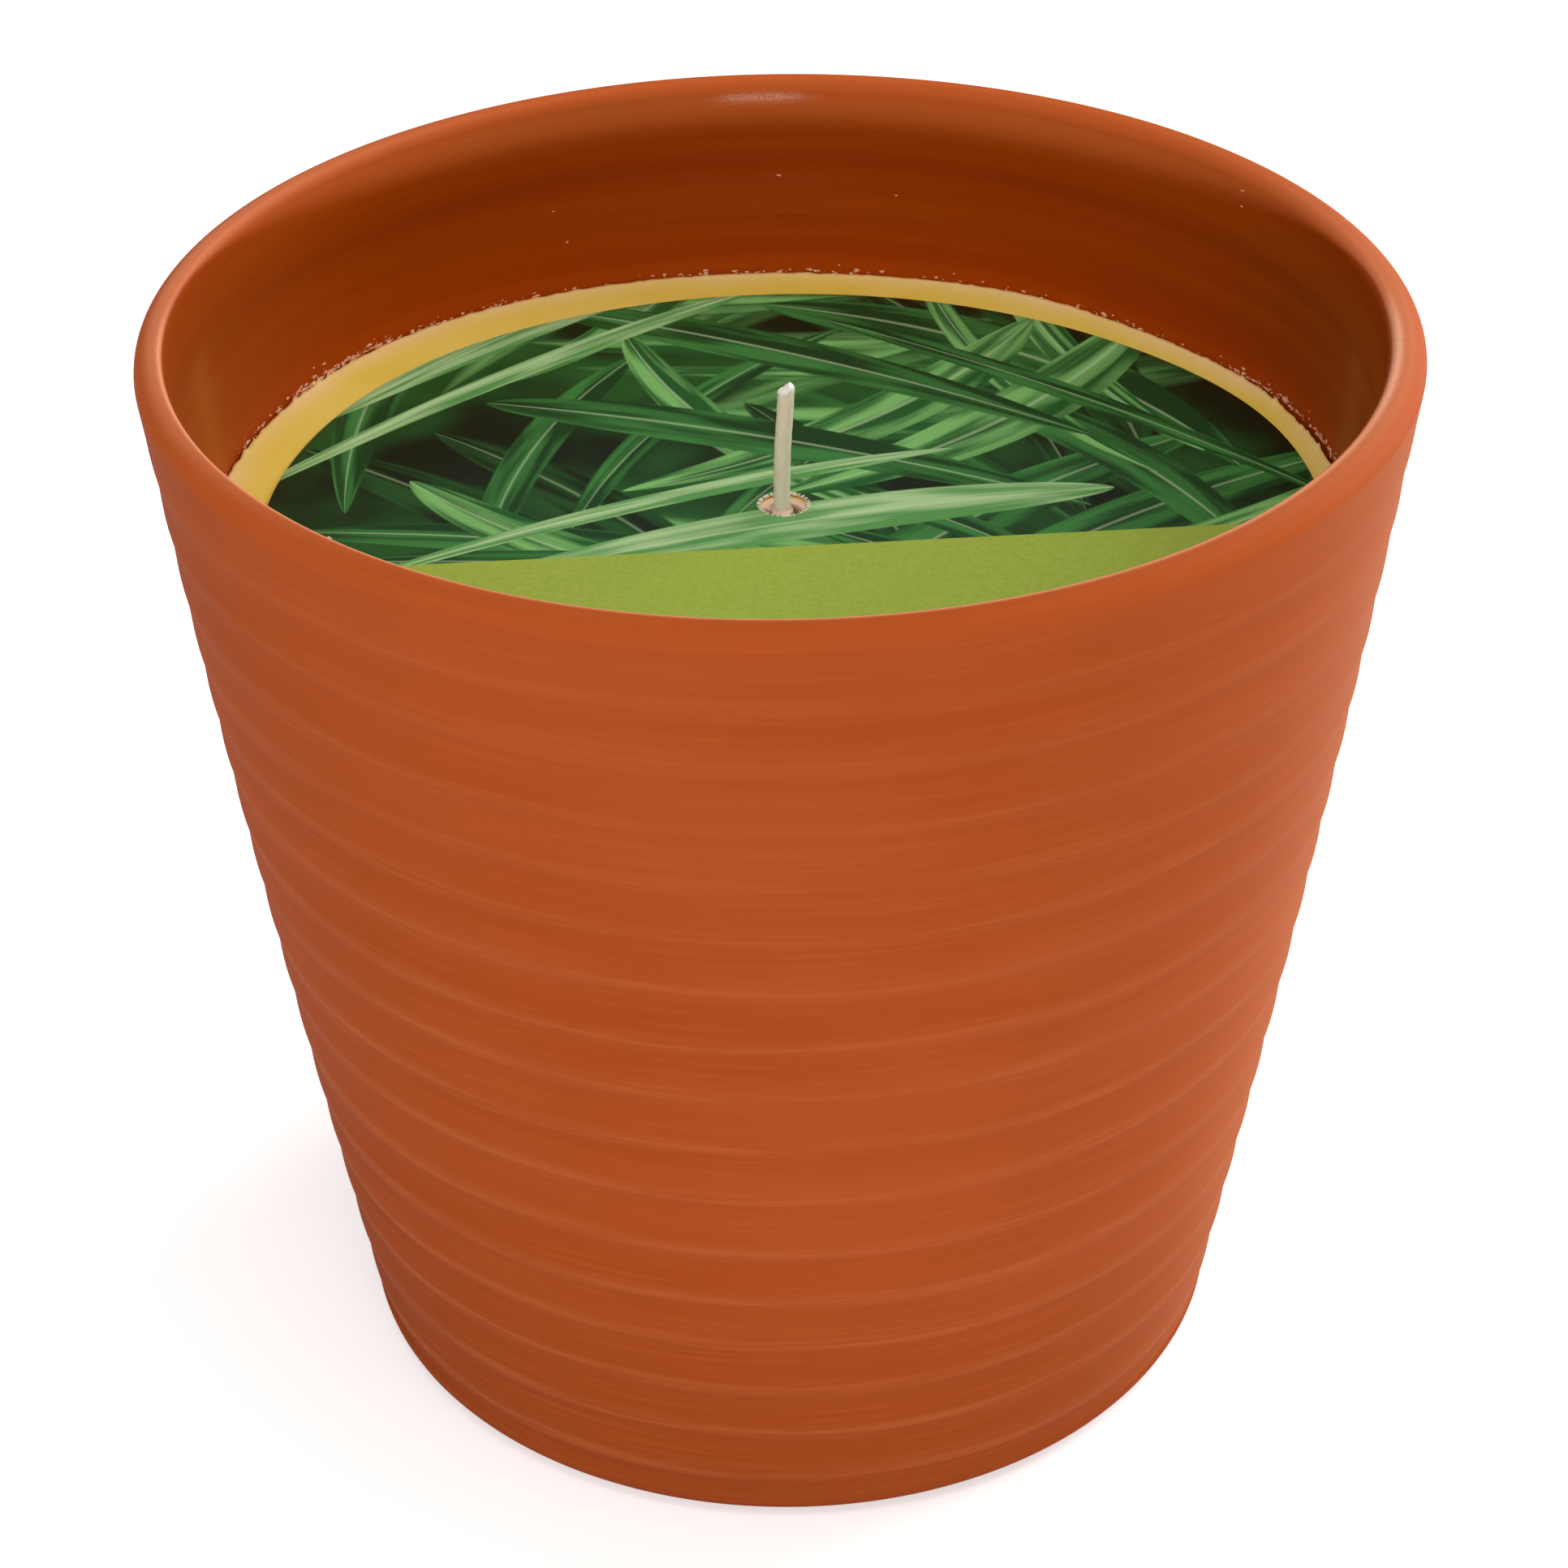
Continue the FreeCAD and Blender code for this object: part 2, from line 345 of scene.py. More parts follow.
def sideHeights():
    # Nine steps between each crest and the next notch, so that every ridge keeps its underside
    crests = np.array(pot["crests"])
    ends = [pot["baseRound"], 140.0, lipStart]
    knots = np.sort(np.concatenate([ends, crests, crests - pot["crestToNotch"]]))
    steps = np.arange(9 * (len(knots) - 1) + 1) / 9
    return np.interp(steps, np.arange(len(knots)), knots)


def quarter(steps):
    # Angles from the first step up to a quarter turn
    return np.linspace(0, math.pi / 2, steps + 1)[1:]


def potSection():
    # The half section from the middle of the underside round to the middle of the inside floor, as
    # runs of radius, height and part. The inside wall's radius is filled in later.
    ring, recess, base = pot["ringInner"], pot["recess"], pot["baseRound"]
    foot = pot["footRadius"] - base
    corner, over, inOver = quarter(9), quarter(13), quarter(18)
    side = sideHeights()[1:]
    across, high = pot["lipRound"]
    inAcross, inHigh = pot["lipInnerRound"]
    bend = pot["insideRound"]
    insideFoot = pot["floor"] + bend
    footInside = wallRadius(insideFoot, pot["insideBulge"], pot["wall"])
    inside = np.concatenate([np.linspace(lipInside, 132, 26)[1:], np.linspace(130, insideFoot, 30)])
    hollow = np.array([[0.93, 0.5, 0.07], [0.97, 0.5, 0.03]]) * recess
    runs = [
        (np.linspace(4, ring - recess, 7), np.full(7, recess), underside),
        (ring - hollow[0], hollow[1], underside),
        (np.linspace(ring + 0.3, foot, 5), np.zeros(5), underside),
        (foot + base * np.sin(corner), base * (1 - np.cos(corner)), underside),
        (wallRadius(side, pot["outsideBulge"], 0), side, outerWall),
        (crown + across * np.cos(over), lipStart + high * np.sin(over), roundLip),
        (np.linspace(crown, innerCrown, 4)[1:], np.full(3, pot["height"]), roundLip),
        (innerCrown - inAcross * np.sin(inOver), lipInside + inHigh * np.cos(inOver), roundLip),
        (np.zeros(len(inside)), inside, innerWall),
        (footInside - bend * (1 - np.cos(corner)), insideFoot - bend * np.sin(corner), insideFloor),
        (np.linspace(footInside - bend - 4, 4, 8), np.full(8, pot["floor"]), insideFloor),
    ]
    radius = np.concatenate([run[0] for run in runs])[:, None]
    height = np.concatenate([run[1] for run in runs])[:, None]
    kind = np.concatenate([np.full(len(run[0]), run[2]) for run in runs])[:, None]
    return radius, height, kind


def potMarks(radius, height, kind, turn):
    # Where each shade of the clay shows: bells and S curves of the radius, the height and the
    # angle, each kept to its own parts of the section
    outside, lip, inside = kind == outerWall, kind == roundLip, kind == innerWall
    inward = radius < crown
    within = lip * inward + inside
    behind, before = ease(0.1, 0.9, np.sin(turn)), ease(0.1, -0.12, np.sin(turn))
    fromCrest = np.abs(height - np.array(pot["crests"])).min(1)[:, None]
    # crests are paler low down and at the left and right: wear, and a painted highlight where light
    # catches them
    worn = (0.3 + 0.5 * ease(130, 60, height)) * (0.55 + 0.45 * np.cos(turn) ** 2)
    # painted light on the lip's sides, broader at the left
    litLipSides = np.abs(np.cos(turn + 0.12)) ** np.where(np.cos(turn) < 0, 3.5, 6)
    outwards, upwards = ease(crown + 2.2, crown + 0.4, radius), ease(0.4, 2.4, height - lipInside)
    # oil has soaked the clay from the inside edge down, and from lower down at the back, and the
    # deeper colour there is partly painted shade of the hollow
    soakStart, soakEnd = lipInside + 1.75 - 2.5 * behind, lipInside + 1.3 - 7.5 * behind
    across = {}
    for name in ("rimLitSide", "chalkRight", "glintBehind"):
        angle, width = pot[name]
        aside = (turn - angle + math.pi) % wholeTurn - math.pi
        across[name] = hump(aside, 0, width, 2 if name == "rimLitSide" else 4)
    chalkRight = across["chalkRight"] * hump(radius, innerCrown - 0.2, 0.45)
    # the patch at the back is a painted glint, the one at the right is chalk
    glintBehind = across["glintBehind"] * hump(height, lipInside - 0.3, 0.6)
    return {
        "crest": hump(fromCrest, 0, pot["crestWearAndHighlight"]) * outside * worn,
        # painted rim light on the right side of the wall
        "rimLight": across["rimLitSide"] * outside,
        "inside": ease(soakStart, soakEnd, height) * (kind >= roundLip) * inward,
        "lip": pot["lipSideLight"] * litLipSides * outwards * upwards * lip,
        # painted light on the lip's top, strongest at the back, and on the inside wall just under
        # it there
        "crown": lip * (0.55 + 0.45 * np.sin(turn)) + inside * behind * ease(135, 144, height),
        # a pale line on the lip's inner edge in front, from wear and a painted highlight
        "innerEdge": hump(radius, innerCrown - 0.15, 0.4) * within * before,
        "sheen": swollen(turn, pot["sheens"]) * ease(138, 132, height) * inside,
        "foot": ease(62, 5, height) * (kind <= outerWall),
        "chalkAndGlint": (chalkRight + glintBehind) * within,
    }


def makePot(material):
    # The section turned about the axis, less the ridges, with the small waves that the potter's
    # hand leaves: sines of two and three times the angle, and inside one of the height
    radius, height, kind = potSection()
    turn = circle(pot["columns"])
    share = np.clip((crown - radius) / (crown - lipEdge), 0, 1) * (kind == roundLip)
    outer = radius + share * (insideRadius(lipInside, turn) - lipEdge)
    outer = outer - np.where(kind == outerWall, ridgeDepth(height, turn), 0)
    turned = np.sin(height * 1.1 + 0.6 * np.sin(turn)) * ease(lipInside, lipInside - 5, height)
    inner = insideRadius(height, turn) + pot["turningWave"] * turned
    hand = (2 + np.sin(2 * turn + 0.6) + np.sin(3 * turn + 2.0)) * ease(10, 140, height)
    hand = pot["handWave"] * hand * (kind > underside) * (kind < insideFloor)
    shaped = np.where(kind == innerWall, inner, outer) - hand
    marks = potMarks(radius, height, kind, turn)
    mesh = skin("pot_turned", roundAbout(shaped, height, turn), "poles", marks)
    finishPiece("pot_turned", mesh, material, "terracotta", "pot")


def terracotta():
    # Fired clay with the fine level streaks of the turning tool. It is paler on the crests, from
    # wear and a painted highlight, with a painted rim light on its right side and painted light on
    # the lip's sides and top, and darker at the foot. Inside it is deeper, partly where oil has
    # soaked in and partly as painted shade of the hollow. The lip's inner edge is pale in front,
    # from wear and a painted highlight. The lip is chalky at the right and has a painted glint at
    # the back, and two upright painted reflections show inside.
    material, tree, shader, place = newMaterial("terracotta")
    shades, inside = pot["shades"], mark(tree, "inside")
    streaks = speckle(tree, place, 1.0, (45, 45, 1500))
    bands = speckle(tree, place, 1.0, (5, 5, 180))
    clouds = speckle(tree, place, 14.0, detail=4.0)
    grain = speckle(tree, place, 2600.0, detail=2.0)
    outer = blend(tree, spread(tree, clouds), *pot["outer"])
    outer = wash(tree, outer, "foot", shades)
    outer = blend(tree, spread(tree, bands, 0.0, 0.35, 0.35, 0.7), outer, pot["bands"])
    outer = blend(tree, spread(tree, streaks, 0.0, 0.35, 0.45, 0.75), outer, pot["streaks"])
    outer = wash(tree, outer, "crest", shades, spread(tree, streaks, 0.15, 0.6, 0.3, 0.6))
    # painted rim light on the right, and painted light on the lip's top and sides
    for name in ("rimLight", "crown", "lip"):
        outer = wash(tree, outer, name, shades)
    inner = blend(tree, spread(tree, bands), *pot["inner"])
    inner = wash(tree, inner, "sheen", shades)
    colour = blend(tree, inside, outer, inner)
    colour = wash(tree, colour, "innerEdge", shades)
    # chalk on the lip's right and a painted glint at its back
    colour = wash(tree, colour, "chalkAndGlint", shades, spread(tree, grain, 0.2, 0.7))
    rough = spread(tree, inside, *pot["roughness"], 0.0, 1.0)
    rough = plus(tree, rough, spread(tree, clouds, -0.05, 0.05))
    shine = spread(tree, inside, *pot["shine"], 0.0, 1.0)
    relief = plus(tree, times(tree, streaks, 0.7), times(tree, grain, 0.3))
    looks = {"Base_Color": colour, "Roughness": rough, "Specular_IOR_Level": shine}
    coat(tree, shader, (relief, 0.00012, 0.6), **looks)
    return material


makePot(terracotta())
print("pot made")


wax = {
    "level": 118.0,
    "sunk": 0.12,
    "wallGap": 0.22,
    # angle, width and size of the gap where the wax has shrunk away from the wall
    "shrunk": (0.3, 0.16, 0.6),
    "bore": 1.26,
    "wickCone": 1.0,
    "grooveAt": 2.05,
    "grooveDepth": 1.3,
    # height of the film that climbs the wall, and angle, width and strength of its ragged places
    "film": 0.42,
    "fringes": [(2.53, 0.32, 1.0), (0.36, 0.26, 1.0)],
    "columns": 900,
    # distances from the wall, or from the axis for the wick, where a shade begins and is full
    "paleEdge": (-4.6, -0.8),
    "pinkEdge": (-0.9, -0.3),
    "paleWick": (5.0, 3.2),
    "colours": (paint(242, 210, 84), paint(247, 216, 104)),
    "shades": {
        "nearWall": (paint(252, 216, 150), 1.0),
        "film": (paint(240, 176, 130), 0.75),
        "nearWick": (paint(244, 208, 172), 1.0),
        # painted shadow in the groove round the wick
        "groove": (paint(58, 20, 8), 1.0),
    },
}


def waxFilm(turn):
    # How far a thin film climbs the wall: a power of an uneven wave where it is above zero, most of
    # all in the two ragged places
    fringed = 0.25 + swollen(turn, wax["fringes"])
    return 0.12 + wax["film"] * fringed * np.clip(ragged(turn, 3, 30, 330), 0, 1.6) ** 1.6


def waxTop(radius, turn, edge):
    # Level, with a film at the wall and a cone at the wick that both die away exponentially, a bell
    # for the groove round the wick, and sines for the waves of cooling between them
    film = waxFilm(turn) * np.exp(-(edge - radius) / 0.35) + 0.2 * np.exp(-(edge - radius) / 1.6)
    cone = wax["wickCone"] * np.exp(-(radius - wax["bore"]) / 0.3)
    lopsided = 0.75 + 0.25 * np.sin(turn + 1.2) + 0.12 * ragged(turn, 5, 2, 14)
    groove = wax["grooveDepth"] * lopsided * hump(radius, wax["grooveAt"], 0.45)
    waves = 0.06 * np.sin(radius * 0.5 + 2 * np.sin(turn)) * ease(3, 12, radius)
    return wax["level"] - wax["sunk"] + film + cone - groove + waves


def waxEdge(height, turn):
    # The wall's inside less a gap, which opens in a steep bell where the wax has shrunk away
    angle, width, size = wax["shrunk"]
    shrunk = size * hump(turn, angle, width, 4) * ease(100, 117, height)
    uneven = (0.12 + 0.1 * ragged(turn, 4, 12, 160)) * ease(112, 118, height)
    return insideRadius(height, turn) - wax["wallGap"] - shrunk - uneven


def makeWax(material):
    # A closed ring section: across the top from the wick's bore, down the wall, back underneath and
    # up the bore. The rows on top crowd together at the wick and at the wall.
    turn, bore = circle(wax["columns"], -math.pi), wax["bore"]
    edge = waxEdge(wax["level"], turn)
    atWick = np.concatenate([np.linspace(0, 0.03, 12), [0.04, 0.06, 0.1]])
    share = np.concatenate([atWick, np.linspace(0.16, 0.86, 7), np.linspace(0.9, 1, 18)])[:, None]
    top = bore + (edge - 0.2 - bore) * share
    down = np.concatenate([[117.8, 117.4, 116.6, 115], np.linspace(110, 14, 8)])[:, None]
    side = waxEdge(down, turn)
    bottom = np.linspace(side[-1] - 6, bore, 5)
    up = np.linspace(9, 116, 6)[:, None]
    runs = [(top, waxTop(top, turn, edge)), (side, down), (bottom, pot["floor"]), (bore, up)]
    runs = [np.broadcast_arrays(radius, height, turn) for radius, height in runs]
    radius, height = (np.concatenate([run[n] for run in runs]) for n in range(2))
    fromWall = radius - insideRadius(wax["level"], turn)
    onTop = height > 110
    # painted shadow in the groove round the wick, left off its front side
    grooveShadow = ease(-0.8, -0.35, np.sin(turn)) * (0.85 + 0.3 * ragged(turn, 6, 2, 9))
    marks = {
        "nearWall": ease(*wax["paleEdge"], fromWall) * onTop,
        "film": ease(*wax["pinkEdge"], fromWall) * onTop,
        "nearWick": ease(*wax["paleWick"], radius) * onTop,
        "groove": ease(1.3, 1.6, radius) * ease(3.1, 2.3, radius) * onTop * grooveShadow,
    }
    mesh = skin("wax_pool", roundAbout(radius, height, turn), "loop", marks)
    finishPiece("wax_pool", mesh, material, "wax", "wax")


def waxMaterial():
    # Cloudy yellow wax, paler towards the wall, pink with clay in the film on it, pale round the
    # wick, and dark with painted shadow in the groove there
    material, tree, shader, place = newMaterial("citronella_wax")
    clouds = speckle(tree, place, 70.0, detail=4.0)
    fine = speckle(tree, place, 900.0)
    colour = blend(tree, spread(tree, clouds), *wax["colours"])
    colour = wash(tree, colour, "nearWall", wax["shades"], spread(tree, clouds, 0.4, 0.85))
    for name in ("film", "nearWick", "groove"):
        colour = wash(tree, colour, name, wax["shades"])
    looks = {
        "Base_Color": colour,
        "Roughness": spread(tree, fine, 0.38, 0.5),
        "Specular_IOR_Level": 0.4,
        "Subsurface_Weight": 0.12,
        "Subsurface_Radius": (1.0, 0.6, 0.25),
        "Subsurface_Scale": 0.002,
    }
    coat(tree, shader, (fine, 0.0001, 0.35), **looks)
    return material


makeWax(waxMaterial())
print("wax made")


crumbs = {
    # start and end angle, and count
    "arcs": [
        (2.38, 2.66, 230), (2.1, 2.9, 120), (0.14, 0.58, 260),
        (0.58, 2.1, 110), (2.9, 5.2, 60), (-1.1, 0.14, 50),
    ],
    "size": (0.06, 0.24),
    # small, middling and large ones, and the share of each
    "scales": [0.7, 1.0, 1.6],
    "shares": [0.45, 0.43, 0.12],
    "highest": 1.8,
    # angle and height of single specks on the wall, and angle and radius of those on the lip
    "onWall": [
        (0.596, 143.2), (0.593, 141.1), (2.008, 129.9),
        (1.986, 125.1), (1.57, 132.1), (1.344, 129.8),
    ],
    "wallSpeck": (0.12, 0.24),
    "onLip": [(0.658, 76.2), (0.617, 77.9), (0.348, 78.2), (-2.312, 76.6), (-2.30, 76.3)],
    "lipSpeck": 0.26,
    "rows": 4,
    "columns": 7,
    "colours": (paint(222, 142, 98), paint(246, 198, 156)),
}


def crumbBall(seeded, size):
    # A small ball with lumps: its radius swells with the sine of a slanting distance across it
    up = np.linspace(0, math.pi, crumbs["rows"] + 2)[1:-1, None]
    turn = circle(crumbs["columns"])
    flat = np.sin(up)
    ball = np.stack([flat * np.cos(turn), flat * np.sin(turn), np.cos(up) + 0 * turn], -1)
    lumps = 1 + 0.35 * np.sin(ball @ seeded.uniform(-4, 4, 3) + seeded.uniform(0, 6))
    longer = np.array([0.5, seeded.uniform(1, 2.2), seeded.uniform(0.6, 1.1)])
    return ball * lumps[..., None] * size * longer


def setCrumb(shape, radius, height, angle):
    # Turns a crumb to face the axis and sets it down at its place
    out = np.array([math.cos(angle), math.sin(angle), 0])
    side = np.array([-math.sin(angle), math.cos(angle), 0])
    points = shape @ np.stack([out, side, [0, 0, 1.0]])
    return skin("crumb", points + out * radius + np.array([0, 0, height]), "poles")


def makeCrumbs(material):
    # Dry crumbs packed along the edge of the wax, exponentially fewer with height up the wall and
    # with distance from it, and a few single specks
    seeded = np.random.default_rng(7)
    meshes = []
    for start, end, count in crumbs["arcs"]:
        for angle in seeded.uniform(start, end, count):
            scale = seeded.uniform(*crumbs["size"])
            size = scale * seeded.choice(crumbs["scales"], p=crumbs["shares"])
            climb = min(seeded.exponential(0.22), crumbs["highest"])
            height = wax["level"] + float(waxFilm(angle)) * 0.6 + climb
            radius = float(insideRadius(height, angle)) - size * 0.2 - seeded.exponential(0.12)
            meshes.append(setCrumb(crumbBall(seeded, size), radius, height, angle))
    for angle, height in crumbs["onWall"]:
        speck = crumbBall(seeded, seeded.uniform(*crumbs["wallSpeck"]))
        radius = float(insideRadius(height, angle)) - 0.1
        meshes.append(setCrumb(speck, radius, height, angle))
    for angle, radius in crumbs["onLip"]:
        speck = crumbBall(seeded, crumbs["lipSpeck"])
        meshes.append(setCrumb(speck, radius, pot["height"] - 0.34, angle))
    finishPiece("wax_crumbs", joinMeshes("wax_crumbs", meshes), material, "wax")


def crumbMaterial():
    # Dry crumbs and smears of wax, paler and pinker than the pool
    material, tree, shader, place = newMaterial("dry_wax")
    flecks = speckle(tree, place, 1500.0)
    colour = blend(tree, spread(tree, flecks), *crumbs["colours"])
    rough = spread(tree, flecks, 0.45, 0.7)
    coat(tree, shader, (flecks, 0.0001, 0.5), Base_Color=colour, Roughness=rough)
    return material


makeCrumbs(crumbMaterial())
print("crumbs made")


wick = {
    "foot": 7.5,
    "top": 136.3,
    "radius": 1.1,
    "widest": 1.2,
    "lean": 0.65,
    "cutSlant": 0.42,
    "turns": 0.62,
    "strand": 0.035,
    "fray": 0.05,
    "columns": 40,
    "colours": (paint(255, 238, 216), paint(255, 248, 236)),
    "shades": {"cutEnd": (paint(255, 250, 240), 1.0)},
}


def makeWick(material):
    # A round section carried up a path that leans by the square of an S. Its strands stand out by
    # the size of two sines, multiplied, that wind opposite ways. It closes along an arc over its
    # cut end, which is slanted and slightly frayed.
    top, turn = wick["top"], circle(wick["columns"])
    hidden = np.linspace(wick["foot"], wax["level"] - 1, 40)
    seen = np.linspace(wax["level"] - 0.8, top, 120)
    height = np.concatenate([hidden, seen])[:, None]
    wound = 2 * wick["turns"] * height
    plait = np.abs(np.sin(2 * turn + wound) * np.sin(2 * turn - wound))
    frayed = wick["fray"] * ragged(turn, 8, 2, 9) * ease(top - 3, top, height)
    close = np.sqrt(1 - ((height - top + 0.8) / 0.84).clip(0, 1) ** 2)
    radius = wick["radius"] * (0.95 + wick["strand"] * plait + frayed) * (0.25 + 0.75 * close)
    points = roundAbout(np.minimum(radius, wick["widest"]), height, turn)
    points[..., 0] += wick["lean"] * ease(wax["level"], top, height) ** 2
    slant = wick["cutSlant"] * np.cos(turn) + 0.12 * ragged(turn, 12, 2, 9) - 0.4
    points[..., 2] += slant * ease(top - 1.6, top - 0.2, height)
    mesh = skin("wick_cord", points, "poles", {"cutEnd": ease(top - 2.5, top, height)})
    finishPiece("wick_cord", mesh, material, "wick_cord", "wick")


def wickMaterial():
    # Plaited cotton soaked in wax, whiter and drier at its cut end
    material, tree, shader, place = newMaterial("waxed_cotton")
    threads = speckle(tree, place, 1.0, (2600, 2600, 700))
    colour = blend(tree, spread(tree, threads), *wick["colours"])
    looks = {
        "Base_Color": wash(tree, colour, "cutEnd", wick["shades"]),
        "Roughness": spread(tree, threads, 0.45, 0.65),
        "Subsurface_Weight": 0.15,
        "Subsurface_Scale": 0.001,
    }
    coat(tree, shader, (threads, 0.00012, 0.6), **looks)
    return material


makeWick(wickMaterial())
print("wick made")


label = {
    "middle": (1.4, -3.2),
    "radius": 67.7,
    # angle, width and size of the places where the card is cut out of round
    "swells": [(0.44, 0.3, 1.0), (2.42, 0.38, 0.75)],
    "hole": (0.2, 1.6),
    "holeRadius": 3.0,
    "lift": 0.02,
    "thickness": 0.33,
    "wornEdge": 0.06,
    "columns": 320,
    # where the lime field begins, and how many degrees it is turned
    "bandEdge": -9.8,
    "bandTurn": 4.6,
    "lime": (paint(160, 180, 60), paint(170, 188, 76)),
    "card": (paint(222, 204, 176), paint(244, 232, 212)),
    "murk": (paint(6, 30, 10), paint(34, 92, 38)),
    "rib": paint(206, 228, 176),
    # least and greatest half width of a leaf as a share of its strip, how pointed it is, how thin
    # its rib is, and how close and how strong its veins are
    "leafWidth": (0.2, 0.46),
    "leafPoint": 0.6,
    "ribThin": 11.0,
    "veins": (30.0, 0.06),
    # dark and light side of a leaf
    "tones": [
        (paint(8, 34, 12), paint(30, 84, 36)),
        (paint(16, 66, 28), paint(62, 132, 62)),
        (paint(30, 96, 42), paint(130, 194, 108)),
        (paint(92, 158, 82), paint(182, 216, 152)),
    ],
    # Rows of leaves from the back of the picture to the front. Each is its middle, its turn in
    # degrees, the width of a strip, its bend, the length of a leaf, its blur in millimetres, how
    # clear its ribs are, the share of strips without a leaf, and its tone.
    "rows": [
        ((-10, 30), 150, 24, 0.004, 80, 7.0, 0.0, 0.3, 1),
        ((20, 40), 28, 22, -0.003, 70, 6.0, 0.0, 0.3, 2),
        ((0, 55), 4, 12, 0.002, 60, 3.0, 0.0, 0.4, 2),
        ((10, 20), 118, 15, 0.004, 80, 0.5, 0.3, 0.3, 0),
        ((-30, 45), 62, 14, -0.005, 75, 0.4, 0.4, 0.4, 1),
        ((38, 30), 136, 14, 0.006, 80, 0.35, 0.5, 0.3, 1),
        ((-42, 12), 128, 13, -0.005, 70, 0.3, 0.5, 0.4, 2),
        ((44, 12), 40, 13, 0.005, 75, 0.3, 0.5, 0.4, 2),
        ((-6, 16), 162, 12, 0.002, 85, 0.3, 0.5, 0.5, 1),
        ((4, 14), 20, 11, -0.002, 90, 0.3, 0.6, 0.6, 3),
    ],
}


def makeLabel(material):
    # A ring that runs from the torn circle of the punched hole out to the edge, which swells out of
    # round, over it and back underneath. The card waves towards its edge by a sine of the angle.
    turn = circle(label["columns"])
    nearHole = [0, 0.003, 0.006, 0.01, 0.015, 0.03]
    share = np.array([*nearHole, 0.1, 0.2, 0.35, 0.5, 0.65, 0.8, 0.9, 0.97, 0.998, 1])[:, None]
    around = np.concatenate([share, share[::-1]])
    upper = np.concatenate([np.ones(len(share)), np.zeros(len(share))])[:, None]
    ring = np.stack([np.cos(turn[0]), np.sin(turn[0])], -1)
    torn = ragged(turn, 9, 5, 40)
    holeRadius = label["holeRadius"] - (0.1 * torn[0]).clip(-0.08, 0.25)
    inner = np.array(label["hole"]) + holeRadius[:, None] * ring
    outerRadius = label["radius"] + swollen(turn[0], label["swells"])
    outer = np.array(label["middle"]) + outerRadius[:, None] * ring
    flat = inner + (outer - inner) * around[..., None]
    worn = label["wornEdge"] * ((around == 0) | (around == 1))
    wave = 0.05 * ease(0.5, 1, around) * (1 + np.sin(3 * turn + 0.5))
    lifted = upper * (label["thickness"] - worn) + (1 - upper) * worn + wave
    height = wax["level"] + label["lift"] + lifted
    bare = ease(0.012, 0.004, around) * (0.7 + 0.5 * torn)
    points = np.concatenate([flat, height[..., None]], -1)
    mesh = skin("label_card", points, "loop", {"printed": upper * (1 - bare)})
    finishPiece("label_card", mesh, material, "card", "label")


